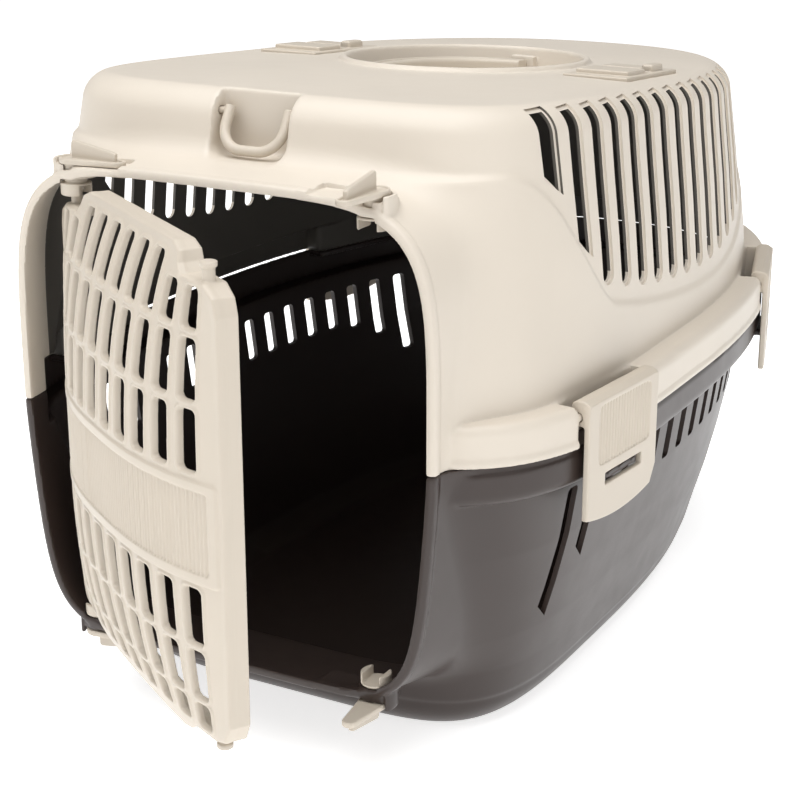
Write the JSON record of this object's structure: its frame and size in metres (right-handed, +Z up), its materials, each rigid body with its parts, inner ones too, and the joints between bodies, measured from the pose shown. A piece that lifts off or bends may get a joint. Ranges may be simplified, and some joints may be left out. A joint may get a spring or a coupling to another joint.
{
  "type": "pet transport carrier",
  "caption": "Plastic pet carrier: slotted upper and lower shells joined by side clips, grille door held by latch knobs, folding roof handle, strap ring and belt guides.",
  "frame": {"origin": "centre of the flat base, on the ground", "axes": "+Z up, the mouth and the door face -Y, +X is the viewer's right when looking into the mouth"},
  "size_m": [0.3618, 0.6421, 0.3429],
  "materials": {
    "beige_shell": "satin",
    "dark_shell": "satin",
    "beige_fittings": "satin"
  },
  "bodies": {
    "carrier": {"top_shell": "beige_shell", "bottom_shell": "dark_shell", "belt_guide_left": "beige_fittings", "belt_guide_right": "beige_fittings"},
    "door": {"door": "beige_fittings"},
    "latch_knob_top_left": {"latch_knob_top_left": "beige_fittings"},
    "latch_knob_top_right": {"latch_knob_top_right": "beige_fittings"},
    "latch_knob_bottom_left": {"latch_knob_bottom_left": "beige_fittings"},
    "latch_knob_bottom_right": {"latch_knob_bottom_right": "beige_fittings"},
    "side_clip_front_left": {"side_clip_front_left": "beige_fittings"},
    "side_clip_front_right": {"side_clip_front_right": "beige_fittings"},
    "side_clip_rear_left": {"side_clip_rear_left": "beige_fittings"},
    "side_clip_rear_right": {"side_clip_rear_right": "beige_fittings"},
    "carry_handle": {"carry_handle": "beige_fittings"},
    "d_ring": {"d_ring": "beige_fittings"}
  },
  "joints": [
    {"name": "door_hinge", "type": "hinge", "parent": "carrier", "child": "door", "pos_m": [-0.0875, -0.275, 0.175], "axis": [0, 0, -1], "range_deg": [-33, 64]},
    {"name": "latch_knob_top_left_turn", "type": "hinge", "parent": "carrier", "child": "latch_knob_top_left", "pos_m": [-0.0875, -0.275, 0.302], "axis": [0, 0, 1], "range_deg": [-90, 0]},
    {"name": "latch_knob_top_right_turn", "type": "hinge", "parent": "carrier", "child": "latch_knob_top_right", "pos_m": [0.0875, -0.275, 0.302], "axis": [0, 0, 1], "range_deg": [-90, 0]},
    {"name": "latch_knob_bottom_left_turn", "type": "hinge", "parent": "carrier", "child": "latch_knob_bottom_left", "pos_m": [-0.0875, -0.275, 0.046], "axis": [0, 0, 1], "range_deg": [-90, 0]},
    {"name": "latch_knob_bottom_right_turn", "type": "hinge", "parent": "carrier", "child": "latch_knob_bottom_right", "pos_m": [0.0875, -0.275, 0.046], "axis": [0, 0, 1], "range_deg": [-90, 0]},
    {"name": "side_clip_front_left_swing", "type": "hinge", "parent": "carrier", "child": "side_clip_front_left", "pos_m": [-0.16996, -0.17344, 0.1903], "axis": [-0.1041, 0.9946, 0], "range_deg": [0, 100]},
    {"name": "side_clip_front_right_swing", "type": "hinge", "parent": "carrier", "child": "side_clip_front_right", "pos_m": [0.16996, -0.17344, 0.1903], "axis": [-0.1041, -0.9946, 0], "range_deg": [0, 100]},
    {"name": "side_clip_rear_left_swing", "type": "hinge", "parent": "carrier", "child": "side_clip_rear_left", "pos_m": [-0.15213, 0.1093, 0.1903], "axis": [0.2813, 0.9596, 0], "range_deg": [0, 100]},
    {"name": "side_clip_rear_right_swing", "type": "hinge", "parent": "carrier", "child": "side_clip_rear_right", "pos_m": [0.15213, 0.1093, 0.1903], "axis": [0.2813, -0.9596, 0], "range_deg": [0, 100]},
    {"name": "handle_fold", "type": "hinge", "parent": "carrier", "child": "carry_handle", "pos_m": [0, -0.008, 0.32104], "axis": [0, 0.9977, -0.0678], "range_deg": [0, 90]},
    {"name": "ring_swing", "type": "hinge", "parent": "carrier", "child": "d_ring", "pos_m": [0, -0.237, 0.332], "axis": [1, 0, 0], "range_deg": [-110, 0]}
  ]
}
